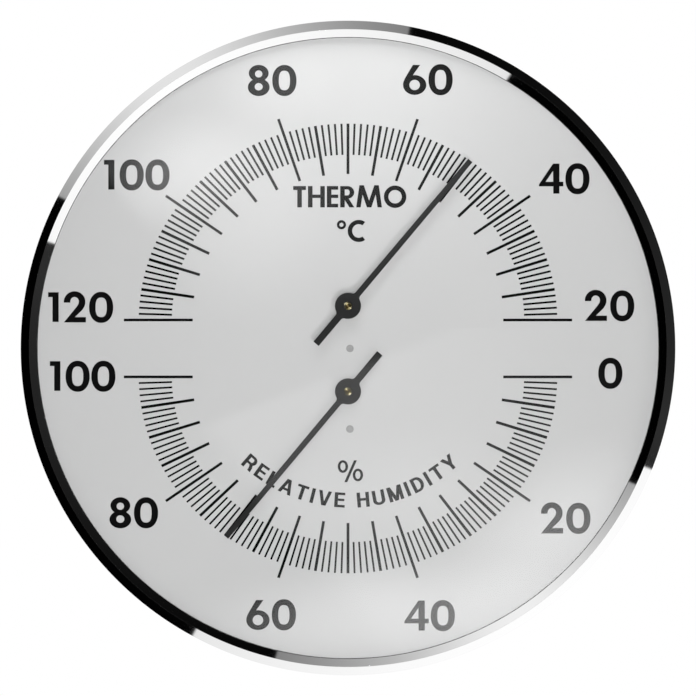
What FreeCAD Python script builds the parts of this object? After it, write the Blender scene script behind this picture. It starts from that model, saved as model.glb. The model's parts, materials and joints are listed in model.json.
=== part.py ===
import FreeCAD, Part
import math
import os

# A round wall instrument for a sauna: a thermometer and a hygrometer behind one glass.
# Sizes are in millimetres. X is to the right, Z is up, and the dial faces -Y.
# Pieces are drawn about the axis of the round case. The hanging hole is above it, and the whole
# instrument is moved down at the end, so that the hole's centre on the wall face is the origin.
# A depth is a distance forward from the wall face, so a piece at that depth has y = -depth.

# General clearances
running_clearance = 0.05
assembly_clearance = 0.1
free_gap = 0.3

# How far a cutter runs past what it cuts, and how closely an edge must lie to be picked for a fillet
overrun = 1.0
pick_tolerance = 0.05

# Bezel ring, turned, and pressed over the flange of the case
overall_radius = 66.0
bezel_wall = 0.8
outer_bevel_width = 1.7
inner_bevel_width = 1.6
bezel_rise = 1.5
bezel_lip_height = 0.45
skirt_overlap = 1.0

# Case can, drawn from one sheet
case_depth = 18.4
case_wall = 0.8
flange_width = 4.0
back_corner_radius = 3.0
back_corner_steps = 2

# Keyhole in the case back, and where the instrument hangs
hanging_height = 44.0
hanging_hole_radius = 4.2
hanging_slot_width = 4.0
hanging_slot_rise = 7.0

# Vent slots pierced in the case side
vent_count = 10
vent_width = 12.0
vent_height = 2.6
vent_depth = 8.6

# Dial, spacer ring, glass and gasket
dial_thickness = 0.6
spacer_height = 4.0
spacer_setback = 0.3
glass_thickness = 2.0
gasket_thickness = 0.3
gasket_width = 1.9
gasket_reveal = 0.12

# Places of the two movements on the dial
thermo_height = 8.5
hygro_drop = 8.75
thermo_rivet_side = 0.4
thermo_rivet_drop = 8.6
hygro_rivet_side = 0.4
hygro_rivet_drop = 7.6

# Frames of the movements, bent from strip
frame_sheet = 0.8
frame_depth = 10.0
frame_half_width = 5.0
frame_web_reach = 10.4
frame_bend_radius = 0.8
frame_foot_radius = 2.6

# Rivets that locate the frames on the dial
rivet_radius = 0.76
rivet_rise = 0.15
rivet_stake = 0.3

# Front bushes, pressed through dial and frame
bush_neck_radius = 1.6
bush_front_radius = 2.1
bush_front_height = 0.5
bush_stake = 1.2

# Arbors
arbor_radius = 0.45
arbor_end_recess = 0.1
arbor_thin_radius = 0.3
thermo_pivot_length = 2.4

# Pointers and their hubs
pointer_length = 38.3
pointer_root_width = 1.2
pointer_tip_width = 1.07
tail_length = 10.0
tail_width = 1.4
pointer_disc_radius = 2.63
pointer_fillet_radius = 0.8
pointer_sheet = 0.3
thermo_pointer_clearance = 2.4
hygro_pointer_clearance = 1.3
thermo_pointer_angle = 49.9
hygro_pointer_angle = 230.1
hub_tube_radius = 0.82
hub_tube_rise = 0.35
hub_collar_radius = 1.3

# Bimetal spiral, its collet, and the regulator that carries its outer end
bimetal_thickness = 0.5
bimetal_width = 4.0
bimetal_setback = 3.1
bimetal_outer_radius = 8.0
bimetal_half_turns = 5
collet_radius = 1.6
collet_overhang = 0.2
regulator_sheet = 0.8
regulator_hub_radius = 3.4
regulator_end_radius = 1.6
regulator_boss_radius = 2.0
regulator_boss_length = 4.0
stud_radius = 0.9
stud_overhang = 0.2
collar_thickness = 0.6
collar_radius = 3.2
driver_slot_width = 0.8
driver_slot_depth = 1.0
access_hole_radius = 3.3

# Hairspring with its collet and stud
hairspring_thickness = 0.15
hairspring_width = 1.0
hairspring_setback = 6.5
hairspring_outer_radius = 4.4
hairspring_half_turns = 5
hairspring_collet_radius = 1.3
hairspring_stud_radius = 0.5

# Hair bundle, its peg and the thread that winds on the arbor
hair_setback = 4.8
hair_radius = 0.65
thread_radius = 0.1
thread_room = 0.6
clamp_radius = 1.1
clamp_length = 4.0
clamp_reach = 4.0
peg_side_room = 11.2
peg_radius = 1.5
peg_plate_radius = 4.2
peg_head_radius = 2.6
peg_head_height = 2.0
peg_head_setback = 1.7
hair_tail = 1.0

# Depths of the stack, from the wall forward
dial_back = case_depth
dial_front = dial_back + dial_thickness
glass_back = dial_front + spacer_height
glass_front = glass_back + glass_thickness
lip_depth = glass_front + gasket_thickness
lip_front = lip_depth + bezel_lip_height
ridge_depth = lip_front + bezel_rise
flange_back = case_depth - case_wall
skirt_back = flange_back - skirt_overlap

# Radii of the stack
flange_radius = overall_radius - bezel_wall
ridge_radius = overall_radius - outer_bevel_width
bezel_inner_radius = ridge_radius - inner_bevel_width
case_radius = flange_radius - flange_width
disc_radius = flange_radius - assembly_clearance

# Depths and places in the movements
frame_front = dial_back - frame_sheet
frame_back = dial_back - frame_depth
frame_back_inner = frame_back + frame_sheet
bush_front = dial_front + bush_front_height
bush_back = frame_front - bush_stake
hub_back = bush_front + free_gap
thermo_axis = (0, thermo_height)
hygro_axis = (0, -hygro_drop)
thermo_rivet_place = (thermo_rivet_side, thermo_height - thermo_rivet_drop)
hygro_rivet_place = (hygro_rivet_side, -hygro_drop - hygro_rivet_drop)
arbor_bore_radius = arbor_radius + running_clearance
bimetal_front = dial_back - bimetal_setback
bimetal_back = bimetal_front - bimetal_width
regulator_back = frame_back_inner + running_clearance
regulator_front = regulator_back + regulator_sheet
regulator_boss_end = regulator_back - regulator_boss_length
collar_front = frame_back - running_clearance
thermo_arbor_back = regulator_front - thermo_pivot_length
hairspring_front = dial_back - hairspring_setback
hairspring_back = hairspring_front - hairspring_width
hair_depth = dial_back - hair_setback
hygro_shoulder = hair_depth + thread_room
hygro_arbor_back = frame_back - free_gap
hair_height = -hygro_drop + arbor_thin_radius + running_clearance + thread_radius
clamp_end = clamp_reach + clamp_length
peg_reach = case_radius - peg_side_room
peg_place = (-peg_reach, hair_height)
stud_place = (-bimetal_outer_radius, thermo_height)
hairspring_stud_place = (-hairspring_outer_radius, -hygro_drop)


def at(x, depth, z):
    """A point, placed by its depth."""
    return FreeCAD.Vector(x, -depth, z)


def disc(radius, back, front, place=(0, 0)):
    """A round bar between two depths, with its axis at a place on the dial."""
    return Part.makeCylinder(radius, front - back, at(place[0], back, place[1]), FreeCAD.Vector(0, -1, 0))


def ring(outer, inner, back, front, place=(0, 0)):
    """A round bar with a hole right through."""
    return disc(outer, back, front, place).cut(disc(inner, back - overrun, front + overrun, place))


def turned(corners, place=(0, 0)):
    """A solid of revolution about an axis on the dial, from corners (radius, depth)."""
    points = [at(radius, depth, 0) for radius, depth in corners + corners[:1]]
    solid = Part.Face(Part.makePolygon(points)).revolve(FreeCAD.Vector(), FreeCAD.Vector(0, 1, 0), 360)
    solid.translate(FreeCAD.Vector(place[0], 0, place[1]))
    return solid


def link(first, first_radius, second, second_radius, back, front):
    """A flat link: two round ends, the first not smaller, joined by straight flanks."""
    along = math.atan2(second[1] - first[1], second[0] - first[0])
    spread = math.acos((first_radius - second_radius) / math.dist(first, second))

    def rim(centre, radius, angle):
        return at(centre[0] + radius * math.cos(angle), back, centre[1] + radius * math.sin(angle))

    upper_first = rim(first, first_radius, along + spread)
    lower_first = rim(first, first_radius, along - spread)
    upper_second = rim(second, second_radius, along + spread)
    lower_second = rim(second, second_radius, along - spread)
    edges = [
        Part.Arc(upper_first, rim(first, first_radius, along + math.pi), lower_first).toShape(),
        Part.makeLine(lower_first, lower_second),
        Part.Arc(lower_second, rim(second, second_radius, along), upper_second).toShape(),
        Part.makeLine(upper_second, upper_first),
    ]
    return Part.Face(Part.Wire(edges)).extrude(at(0, front - back, 0))


def bent_strip(reach, half_width, place, angle):
    """The strip of a frame, bent like a U, whose web lies at a reach and an angle from a place."""
    corners = [
        at(0, dial_back, -half_width),
        at(reach, dial_back, -half_width),
        at(reach, frame_back, -half_width),
        at(0, frame_back, -half_width),
        at(0, frame_back_inner, -half_width),
        at(reach - frame_sheet, frame_back_inner, -half_width),
        at(reach - frame_sheet, frame_front, -half_width),
        at(0, frame_front, -half_width),
        at(0, dial_back, -half_width),
    ]
    strip = Part.Face(Part.makePolygon(corners)).extrude(at(0, 0, 2 * half_width))
    bends = ((frame_bend_radius + frame_sheet, reach), (frame_bend_radius, reach - frame_sheet))
    for radius, bend_reach in bends:
        edges = []
        for edge in strip.Edges:
            first, last = edge.Vertexes
            across = abs(first.Z - last.Z) > half_width
            if across and abs(first.X - bend_reach) < pick_tolerance:
                edges.append(edge)
        strip = strip.makeFillet(radius, edges)
    strip.rotate(FreeCAD.Vector(), FreeCAD.Vector(0, -1, 0), angle)
    strip.translate(FreeCAD.Vector(place[0], 0, place[1]))
    return strip


def spiral_strip(name, inner_face_radius, outer_radius, half_turns, thickness, back, front, place):
    """A flat spiral of half-turn arcs. It starts on the right and ends on the left, on the axis line."""
    start_radius = inner_face_radius + thickness / 2
    growth = (outer_radius - start_radius) / half_turns
    print(name, "gap between turns", round(2 * growth - thickness, 3))
    inner_arcs = []
    outer_arcs = []
    for turn in range(half_turns):
        side = 1 if turn % 2 == 0 else -1
        centre = -side * growth / 2
        middle_radius = start_radius + (turn + 1 / 2) * growth
        sides = ((inner_arcs, middle_radius - thickness / 2), (outer_arcs, middle_radius + thickness / 2))
        for arcs, radius in sides:
            start = at(centre + side * radius, back, 0)
            middle = at(centre, back, side * radius)
            end = at(centre - side * radius, back, 0)
            arcs.append(Part.Arc(start, middle, end))
    edges = [arc.toShape() for arc in inner_arcs]
    edges.append(Part.makeLine(inner_arcs[-1].EndPoint, outer_arcs[-1].EndPoint))
    edges.extend(arc.toShape() for arc in reversed(outer_arcs))
    edges.append(Part.makeLine(outer_arcs[0].StartPoint, inner_arcs[0].StartPoint))
    strip = Part.Face(Part.Wire(Part.__sortEdges__(edges))).extrude(at(0, front - back, 0))
    strip.translate(FreeCAD.Vector(place[0], 0, place[1]))
    return strip


def driver_slot(radius, end, place):
    """The cutter of a screwdriver slot across the rear end of a round head."""
    corner = at(place[0] - radius - overrun, end + driver_slot_depth, place[1] - driver_slot_width / 2)
    return Part.makeBox(2 * (radius + overrun), driver_slot_depth + overrun, driver_slot_width, corner)


def bezel_ring():
    """Turned ring with a roof of two bevels over the glass and a skirt over the flange."""
    return turned([
        (bezel_inner_radius, lip_depth),
        (bezel_inner_radius, lip_front),
        (ridge_radius, ridge_depth),
        (overall_radius, lip_front),
        (overall_radius, skirt_back),
        (flange_radius, skirt_back),
        (flange_radius, lip_depth),
    ])


def case_can():
    """Drawn can with a flange, a keyhole to hang by, vent slots, and holes over the two adjusters."""
    corners = [(0, case_wall), (0, 0)]
    for step in range(back_corner_steps + 1):
        turn = math.pi / 2 * step / back_corner_steps
        radius = case_radius - back_corner_radius * (1 - math.sin(turn))
        corners.append((radius, back_corner_radius * (1 - math.cos(turn))))
    corners.extend([
        (case_radius, flange_back),
        (flange_radius, flange_back),
        (flange_radius, case_depth),
        (case_radius - case_wall, case_depth),
        (case_radius - case_wall, back_corner_radius),
        (case_radius - back_corner_radius, case_wall),
    ])
    through = (-overrun, case_wall + overrun)
    slot_end = (0, hanging_height + hanging_slot_rise)
    slot_corner = at(-hanging_slot_width / 2, case_wall + overrun, hanging_height)
    cutters = [
        disc(hanging_hole_radius, *through, (0, hanging_height)),
        disc(hanging_slot_width / 2, *through, slot_end),
        Part.makeBox(hanging_slot_width, case_wall + 2 * overrun, hanging_slot_rise, slot_corner),
        disc(access_hole_radius, *through, thermo_axis),
        disc(access_hole_radius, *through, peg_place),
    ]
    for index in range(vent_count):
        vent_corner = at(case_radius - case_wall - overrun, vent_depth + vent_height / 2, -vent_width / 2)
        vent = Part.makeBox(case_wall + 2 * overrun, vent_height, vent_width, vent_corner)
        vent.rotate(FreeCAD.Vector(), FreeCAD.Vector(0, -1, 0), 360 * (index + 1 / 2) / vent_count)
        cutters.append(vent)
    return turned(corners).cut(cutters)


def dial_plate():
    """Flat disc on the flange, pierced for the two bushes and the two rivets."""
    plate = disc(disc_radius, dial_back, dial_front)
    through = (dial_back - overrun, dial_front + overrun)
    return plate.cut([
        disc(bush_neck_radius, *through, thermo_axis),
        disc(bush_neck_radius, *through, hygro_axis),
        disc(rivet_radius, *through, thermo_rivet_place),
        disc(rivet_radius, *through, hygro_rivet_place),
    ])


def spacer_ring():
    """Ring that keeps the glass off the dial."""
    return ring(disc_radius, bezel_inner_radius + spacer_setback, dial_front, glass_back)


def glass_pane():
    """Flat round glass."""
    return disc(disc_radius, glass_back, glass_front)


def glass_gasket():
    """Flat gasket between the glass and the bezel's lip. Its edge shows as a thin line inside the bezel."""
    inner = bezel_inner_radius - gasket_reveal
    return ring(inner + gasket_width, inner, glass_front, lip_depth)


def front_bush(place):
    """Flanged bearing, pressed through the dial and a frame."""
    return turned([
        (arbor_bore_radius, bush_back),
        (arbor_bore_radius, bush_front),
        (bush_front_radius, bush_front),
        (bush_front_radius, dial_front),
        (bush_neck_radius, dial_front),
        (bush_neck_radius, bush_back),
    ], place)


def frame_rivet(place):
    """Rivet that locates a frame on the dial. Its front end shows as a pip."""
    return disc(rivet_radius, frame_front - rivet_stake, dial_front + rivet_rise, place)


def thermo_frame():
    """Bracket of the thermometer: front plate, web at the top, and rear plate for the regulator."""
    frame = bent_strip(frame_web_reach, frame_half_width, thermo_axis, 90)
    frame = frame.fuse([
        link(thermo_axis, frame_half_width, thermo_rivet_place, frame_foot_radius, frame_front, dial_back),
        disc(frame_half_width, frame_back, frame_back_inner, thermo_axis),
    ]).removeSplitter()
    through = (frame_front - overrun, dial_back + overrun)
    boss_hole_radius = regulator_boss_radius + running_clearance
    return frame.cut([
        disc(bush_neck_radius, *through, thermo_axis),
        disc(rivet_radius, *through, thermo_rivet_place),
        disc(boss_hole_radius, frame_back - overrun, frame_back_inner + overrun, thermo_axis),
    ])


def hygro_frame():
    """Long frame of the hygrometer: a bridge behind the arbor, and an arm that carries the hair peg."""
    frame = bent_strip(frame_web_reach, frame_half_width, hygro_axis, -90)
    frame = frame.fuse([
        disc(frame_half_width, frame_back, frame_back_inner, hygro_axis),
        link(hygro_axis, frame_half_width, peg_place, peg_plate_radius, frame_front, dial_back),
    ]).removeSplitter()
    through = (frame_front - overrun, dial_back + overrun)
    pivot_hole_radius = arbor_thin_radius + running_clearance
    return frame.cut([
        disc(bush_neck_radius, *through, hygro_axis),
        disc(rivet_radius, *through, hygro_rivet_place),
        disc(peg_radius + running_clearance, *through, peg_place),
        disc(pivot_hole_radius, frame_back - overrun, frame_back_inner + overrun, hygro_axis),
    ])


def hub_front(clearance):
    """Depth of the front end of the hub of a pointer that clears the dial by this much."""
    return dial_front + clearance + pointer_sheet + hub_tube_rise


def tapered_bar(root_width, tip_width, length, back):
    """A flat bar from the pointer's axis to the right."""
    points = [
        at(0, back, -root_width / 2),
        at(length, back, -tip_width / 2),
        at(length, back, tip_width / 2),
        at(0, back, root_width / 2),
        at(0, back, -root_width / 2),
    ]
    return Part.Face(Part.makePolygon(points)).extrude(at(0, pointer_sheet, 0))


def pointer(clearance, place, angle):
    """Stamped pointer: a disc with a long tapered hand, a short tail, and filleted roots."""
    back = dial_front + clearance
    front = back + pointer_sheet
    hand = tapered_bar(pointer_root_width, pointer_tip_width, pointer_length, back)
    tail = tapered_bar(tail_width, tail_width, -tail_length, back)
    blank = disc(pointer_disc_radius, back, front).fuse([hand, tail]).removeSplitter()
    roots = []
    for edge in blank.Edges:
        ends = [math.hypot(vertex.X, vertex.Z) for vertex in edge.Vertexes]
        upright = abs(edge.Length - pointer_sheet) < pick_tolerance
        if upright and all(abs(end - pointer_disc_radius) < pick_tolerance for end in ends):
            roots.append(edge)
    blank = blank.makeFillet(pointer_fillet_radius, roots)
    blank = blank.cut(disc(hub_tube_radius, back - overrun, front + overrun))
    blank.rotate(FreeCAD.Vector(), FreeCAD.Vector(0, -1, 0), angle)
    blank.translate(FreeCAD.Vector(place[0], 0, place[1]))
    return blank


def pointer_hub(clearance, place):
    """Brass hub: a collar behind the pointer, and a tube riveted through it."""
    front = hub_front(clearance)
    return turned([
        (arbor_radius, hub_back),
        (arbor_radius, front),
        (hub_tube_radius, front),
        (hub_tube_radius, dial_front + clearance),
        (hub_collar_radius, dial_front + clearance),
        (hub_collar_radius, hub_back),
    ], place)


def arbor(back, clearance, place):
    """Arbor of one thickness, whose front end lies inside the hub."""
    return disc(arbor_radius, back, hub_front(clearance) - arbor_end_recess, place)


def bimetal_collet():
    """Collet on the thermometer arbor, which carries the spiral's inner end."""
    back = bimetal_back - collet_overhang
    return ring(collet_radius, arbor_radius, back, bimetal_front + collet_overhang, thermo_axis)


def regulator_lever():
    """Lever about the thermometer's axis, with a boss through the frame and a slot for a screwdriver."""
    lever = link(thermo_axis, regulator_hub_radius, stud_place, regulator_end_radius, regulator_back,
                 regulator_front)
    boss = disc(regulator_boss_radius, regulator_boss_end, regulator_back, thermo_axis)
    return lever.fuse(boss).cut([
        disc(arbor_bore_radius, thermo_arbor_back - free_gap, regulator_front + overrun, thermo_axis),
        driver_slot(regulator_boss_radius, regulator_boss_end, thermo_axis),
    ])


def hairspring_collet():
    """Collet on the thin part of the hygrometer arbor, which carries the hairspring's inner end."""
    back = hairspring_back - collet_overhang
    front = hairspring_front + collet_overhang
    return ring(hairspring_collet_radius, arbor_thin_radius, back, front, hygro_axis)


def along_hair(radius, start, end):
    """A round bar along the hair's line, between two distances left of the arbor."""
    first_point = at(-start, hair_depth, hair_height)
    return Part.makeCylinder(radius, end - start, first_point, FreeCAD.Vector(-1, 0, 0))


def hair_peg():
    """Slotted peg in the frame's arm. The hair bundle passes through it, and turning it sets the pull."""
    head_front = hair_depth - peg_head_setback
    head_back = head_front - peg_head_height
    peg = disc(peg_radius, head_front, dial_back - assembly_clearance, peg_place)
    peg = peg.fuse(disc(peg_head_radius, head_back, head_front, peg_place))
    eye = hair_radius + assembly_clearance
    eye_corner = at(-peg_reach - peg_radius - overrun, hair_depth + eye, hair_height - eye)
    return peg.cut([
        Part.makeBox(2 * (peg_radius + overrun), 2 * eye, 2 * eye, eye_corner),
        driver_slot(peg_head_radius, head_back, peg_place),
    ])


bimetal_spiral = spiral_strip("bimetal_spiral", collet_radius, bimetal_outer_radius, bimetal_half_turns,
                              bimetal_thickness, bimetal_back, bimetal_front, thermo_axis)
hairspring = spiral_strip("hairspring", hairspring_collet_radius, hairspring_outer_radius,
                          hairspring_half_turns, hairspring_thickness, hairspring_back, hairspring_front,
                          hygro_axis)

# The thin rear part of the hygrometer arbor takes the thread and the hairspring's collet.
thin_arbor = disc(arbor_thin_radius, hygro_arbor_back, hygro_shoulder, hygro_axis)

# The two studs are slotted for the strips' outer ends.
bimetal_post = disc(stud_radius, regulator_front, bimetal_front + stud_overhang, stud_place)
hairspring_post = disc(hairspring_stud_radius, frame_back_inner, hairspring_front + stud_overhang,
                       hairspring_stud_place)

pieces = {
    "case_can": case_can(),
    "bezel_ring": bezel_ring(),
    "dial_plate": dial_plate(),
    "spacer_ring": spacer_ring(),
    "glass_pane": glass_pane(),
    "glass_gasket": glass_gasket(),
    "thermo_frame": thermo_frame(),
    "thermo_rivet": frame_rivet(thermo_rivet_place),
    "thermo_bush": front_bush(thermo_axis),
    "thermo_arbor": arbor(thermo_arbor_back, thermo_pointer_clearance, thermo_axis),
    "bimetal_collet": bimetal_collet(),
    "bimetal_spiral": bimetal_spiral,
    "regulator_lever": regulator_lever(),
    "regulator_stud": bimetal_post.cut(bimetal_spiral),
    "regulator_collar": ring(collar_radius, regulator_boss_radius, collar_front - collar_thickness,
                             collar_front, thermo_axis),
    "thermo_pointer": pointer(thermo_pointer_clearance, thermo_axis, thermo_pointer_angle),
    "thermo_pointer_hub": pointer_hub(thermo_pointer_clearance, thermo_axis),
    "hygro_frame": hygro_frame(),
    "hygro_rivet": frame_rivet(hygro_rivet_place),
    "hygro_bush": front_bush(hygro_axis),
    "hygro_arbor": arbor(hygro_shoulder, hygro_pointer_clearance, hygro_axis).fuse(thin_arbor),
    "hairspring": hairspring,
    "hairspring_collet": hairspring_collet(),
    "hairspring_stud": hairspring_post.cut(hairspring),
    "hair_peg": hair_peg(),
    "hair_bundle": along_hair(hair_radius, clamp_end, peg_reach + peg_radius + hair_tail),
    "thread_clamp": along_hair(clamp_radius, clamp_reach, clamp_end),
    "pull_thread": along_hair(thread_radius, 0, clamp_reach),
    "hygro_pointer": pointer(hygro_pointer_clearance, hygro_axis, hygro_pointer_angle),
    "hygro_pointer_hub": pointer_hub(hygro_pointer_clearance, hygro_axis),
}

os.makedirs("parts", exist_ok=True)
for name, shape in pieces.items():
    shape.translate(FreeCAD.Vector(0, 0, -hanging_height))
    shape.exportStep("parts/" + name + ".step")
    print(name, "solids", len(shape.Solids), "valid", shape.isValid(), "volume", round(shape.Volume, 3))
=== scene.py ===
import json
import math
from collections import namedtuple

import bmesh
import bpy
from mathutils import Matrix, Vector
from mathutils.geometry import delaunay_2d_cdt

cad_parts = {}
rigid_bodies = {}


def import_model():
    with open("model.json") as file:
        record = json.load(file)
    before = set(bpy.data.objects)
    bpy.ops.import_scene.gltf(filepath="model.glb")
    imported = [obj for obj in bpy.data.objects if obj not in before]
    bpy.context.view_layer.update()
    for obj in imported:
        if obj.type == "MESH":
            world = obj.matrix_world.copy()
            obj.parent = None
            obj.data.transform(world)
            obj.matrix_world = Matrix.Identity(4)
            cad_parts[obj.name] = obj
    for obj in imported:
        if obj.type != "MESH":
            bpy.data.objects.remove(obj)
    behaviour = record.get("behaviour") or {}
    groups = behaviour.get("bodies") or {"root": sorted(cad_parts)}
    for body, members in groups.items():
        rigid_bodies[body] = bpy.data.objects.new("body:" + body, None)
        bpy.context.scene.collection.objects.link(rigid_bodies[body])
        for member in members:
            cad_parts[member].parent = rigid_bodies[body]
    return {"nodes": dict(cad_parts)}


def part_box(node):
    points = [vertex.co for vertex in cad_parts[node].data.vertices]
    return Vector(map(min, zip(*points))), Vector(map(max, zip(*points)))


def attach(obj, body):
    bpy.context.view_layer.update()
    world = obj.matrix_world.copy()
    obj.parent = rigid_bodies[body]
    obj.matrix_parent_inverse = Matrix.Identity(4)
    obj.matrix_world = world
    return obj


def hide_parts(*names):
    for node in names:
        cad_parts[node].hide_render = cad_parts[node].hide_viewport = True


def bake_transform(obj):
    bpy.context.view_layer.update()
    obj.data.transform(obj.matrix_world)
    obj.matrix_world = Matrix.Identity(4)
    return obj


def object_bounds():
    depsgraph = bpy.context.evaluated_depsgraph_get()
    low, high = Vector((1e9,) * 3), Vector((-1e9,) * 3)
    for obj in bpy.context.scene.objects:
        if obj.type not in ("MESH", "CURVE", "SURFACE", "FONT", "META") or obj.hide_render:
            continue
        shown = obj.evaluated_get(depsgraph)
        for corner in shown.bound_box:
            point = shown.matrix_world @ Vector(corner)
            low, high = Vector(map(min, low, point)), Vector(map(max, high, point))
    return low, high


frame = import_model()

cad_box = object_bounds()
cad_nodes = frame["nodes"]

# Case can: a cup drawn from stainless steel sheet, with a flange at its mouth. It is pierced with a
# keyhole to hang by, two holes for a screwdriver, and ten vent slots in its side.
# The draw leaves fine lines along the wall, and the steel is left satin.
MM = 0.001
bezel_low, bezel_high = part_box("bezel_ring")
axis_height = (bezel_low.z + bezel_high.z) / 2
case_low, case_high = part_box("case_can")
case_depth = -case_low.y / MM
flange_radius = case_high.x / MM
flange_width = 4.0
case_wall = 0.8
case_radius = flange_radius - flange_width
case_corner_radius = 3.0
flange_rounding = 0.3
mouth_rounding = 0.5
case_steps = 240
keyhole_radius = 4.2
keyhole_slot_width = 4.0
keyhole_slot_rise = 7.0
access_hole_radius = 3.3
vent_count = 10
vent_width = 12.0
vent_height = 2.6
vent_depth = 8.6
cutter_reach = 1.0
vent_cutter_reach = 3.0
Placed = namedtuple("Placed", "x z back front radius")


def placed(low, high):
    """Where a CAD node's box lies, in millimetres about the case axis, with depths forward of the wall."""
    middle_z = ((low.z + high.z) / 2 - axis_height) / MM
    return Placed((low.x + high.x) / 2 / MM, middle_z, -high.y / MM, -low.y / MM, (high.x - low.x) / 2 / MM)


def linear(code):
    """The linear colour of an sRGB hex code."""
    parts = [int(code[place:place + 2], 16) / 255 for place in (0, 2, 4)]
    return [part / 12.92 if part <= 0.04045 else ((part + 0.055) / 1.055) ** 2.4 for part in parts] + [1.0]


def add_node(tree, kind, inputs, **settings):
    """Adds one node with its settings, and with a value or another node's output on each named input."""
    node = tree.nodes.new("ShaderNode" + kind)
    for name, value in settings.items():
        setattr(node, name, value)
    for name, value in inputs.items():
        if isinstance(value, bpy.types.NodeSocket):
            tree.links.new(value, node.inputs[name])
        else:
            node.inputs[name].default_value = value
    return node


def start_material(name):
    """A new material, its empty node tree, and the place on the piece that its patterns go by."""
    material = bpy.data.materials.new(name)
    material.use_nodes = True
    tree = material.node_tree
    tree.nodes.clear()
    return material, tree, add_node(tree, "TexCoord", {}).outputs["Object"]


def noise(tree, place, size, detail, stretch=None):
    """Noise with features of a size in millimetres, drawn out along the axes whose stretch is small."""
    if stretch:
        place = add_node(tree, "Mapping", {"Vector": place, "Scale": stretch}).outputs["Vector"]
    inputs = {"Vector": place, "Scale": 1 / (size * MM), "Detail": detail}
    return add_node(tree, "TexNoise", inputs).outputs["Fac"]


def tone(tree, pattern, dark, light, ends=(0.0, 1.0)):
    """A colour between two sRGB hex codes, which a pattern reaches at its two ends."""
    ramp = add_node(tree, "ValToRGB", {"Fac": pattern})
    for element, end, code in zip(ramp.color_ramp.elements, ends, (dark, light)):
        element.position = end
        element.color = linear(code)
    return ramp.outputs["Color"]


def mapped(tree, value, first, last, new_first=0.0, new_last=1.0, **settings):
    """A value's share of the way from first to last, carried over to another range."""
    return add_node(tree, "MapRange", {
        "Value": value, "From Min": first, "From Max": last, "To Min": new_first, "To Max": new_last,
    }, **settings).outputs["Result"]


def relief(tree, pattern, strength, depth, normal=None):
    """A normal bumped by a pattern with a depth in millimetres, over another normal if one is given."""
    inputs = {"Height": pattern, "Strength": strength, "Distance": depth * MM}
    if normal is not None:
        inputs["Normal"] = normal
    return add_node(tree, "Bump", inputs).outputs["Normal"]


def close_material(tree, inputs):
    """Ends a material with a shader that has these inputs, and the output."""
    shader = add_node(tree, "BsdfPrincipled", inputs)
    add_node(tree, "OutputMaterial", {"Surface": shader.outputs["BSDF"]})


def finish_nodes(node_names, material):
    """Gives CAD nodes that keep their shape a material."""
    for node_name in node_names:
        mesh = cad_nodes[node_name].data
        mesh.materials.clear()
        mesh.materials.append(material)


def make_piece(name, mesh, material, body, sharp_angle=30):
    """An object from a mesh in metres, with its finish. It rides on a body, if one is given."""
    mesh.name = name
    mesh.shade_smooth()
    mesh.set_sharp_from_angle(angle=math.radians(sharp_angle))
    mesh.materials.clear()
    mesh.materials.append(material)
    piece = bpy.data.objects.new(name, mesh)
    bpy.context.scene.collection.objects.link(piece)
    if body:
        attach(piece, body)
    return piece


def at(x, depth, z):
    """A point in metres, from millimetres about the case axis, with its depth forward of the wall."""
    return Vector((x * MM, -depth * MM, axis_height + z * MM))


def rounded(corners, steps=5):
    """A closed profile whose corners (radius from axis, depth, rounding) are turned into short arcs.

    A point just beside each arc keeps the flats flat when they are shaded smooth.
    """
    beside = 0.2
    profile = []
    for index, (radius, depth, rounding) in enumerate(corners):
        corner = Vector((radius, depth))
        if not rounding:
            profile.append(corner)
            continue
        before = (Vector(corners[index - 1][:2]) - corner).normalized()
        after = (Vector(corners[(index + 1) % len(corners)][:2]) - corner).normalized()
        half_angle = before.angle(after) / 2
        centre = corner + (before + after).normalized() * rounding / math.sin(half_angle)
        reach = rounding / math.tan(half_angle)
        first = corner + before * reach - centre
        last = corner + after * reach - centre
        profile.append(corner + before * (reach + beside * rounding))
        for step in range(steps + 1):
            profile.append(centre + first.slerp(last, step / steps).normalized() * rounding)
        profile.append(corner + after * (reach + beside * rounding))
    return profile


def mesh_of(shape):
    """The mesh of a finished shape, with its faces turned outwards."""
    bmesh.ops.recalc_face_normals(shape, faces=shape.faces)
    mesh = bpy.data.meshes.new("shape")
    shape.to_mesh(mesh)
    shape.free()
    return mesh


def turned(profile, steps, x=0.0, z=0.0):
    """A mesh turned from a closed profile about an axis at a place on the dial."""
    shape = bmesh.new()
    rings = []
    for radius, depth in profile:
        if radius:
            spokes = [2 * math.pi * step / steps for step in range(steps)]
            ring = [at(x + radius * math.cos(spoke), depth, z + radius * math.sin(spoke)) for spoke in spokes]
            rings.append([shape.verts.new(point) for point in ring])
        else:
            rings.append([shape.verts.new(at(x, depth, z))] * steps)
    for index, ring in enumerate(rings):
        following = rings[(index + 1) % len(rings)]
        for step in range(steps):
            after = (step + 1) % steps
            corners = list(dict.fromkeys((ring[step], ring[after], following[after], following[step])))
            if len(corners) > 2:
                shape.faces.new(corners)
    return mesh_of(shape)


def grown(shape, thickness):
    """The mesh of a flat shape whose faces are grown forward by a thickness in millimetres."""
    result = bmesh.ops.extrude_face_region(shape, geom=shape.faces[:])
    moved = [part for part in result["geom"] if isinstance(part, bmesh.types.BMVert)]
    bmesh.ops.translate(shape, verts=moved, vec=(0, -thickness * MM, 0))
    return mesh_of(shape)


def prism(outline, back, front):
    """A mesh from a flat outline (x, z) in millimetres, between two depths."""
    shape = bmesh.new()
    shape.faces.new([shape.verts.new(at(x, back, z)) for x, z in outline])
    return grown(shape, front - back)


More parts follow.
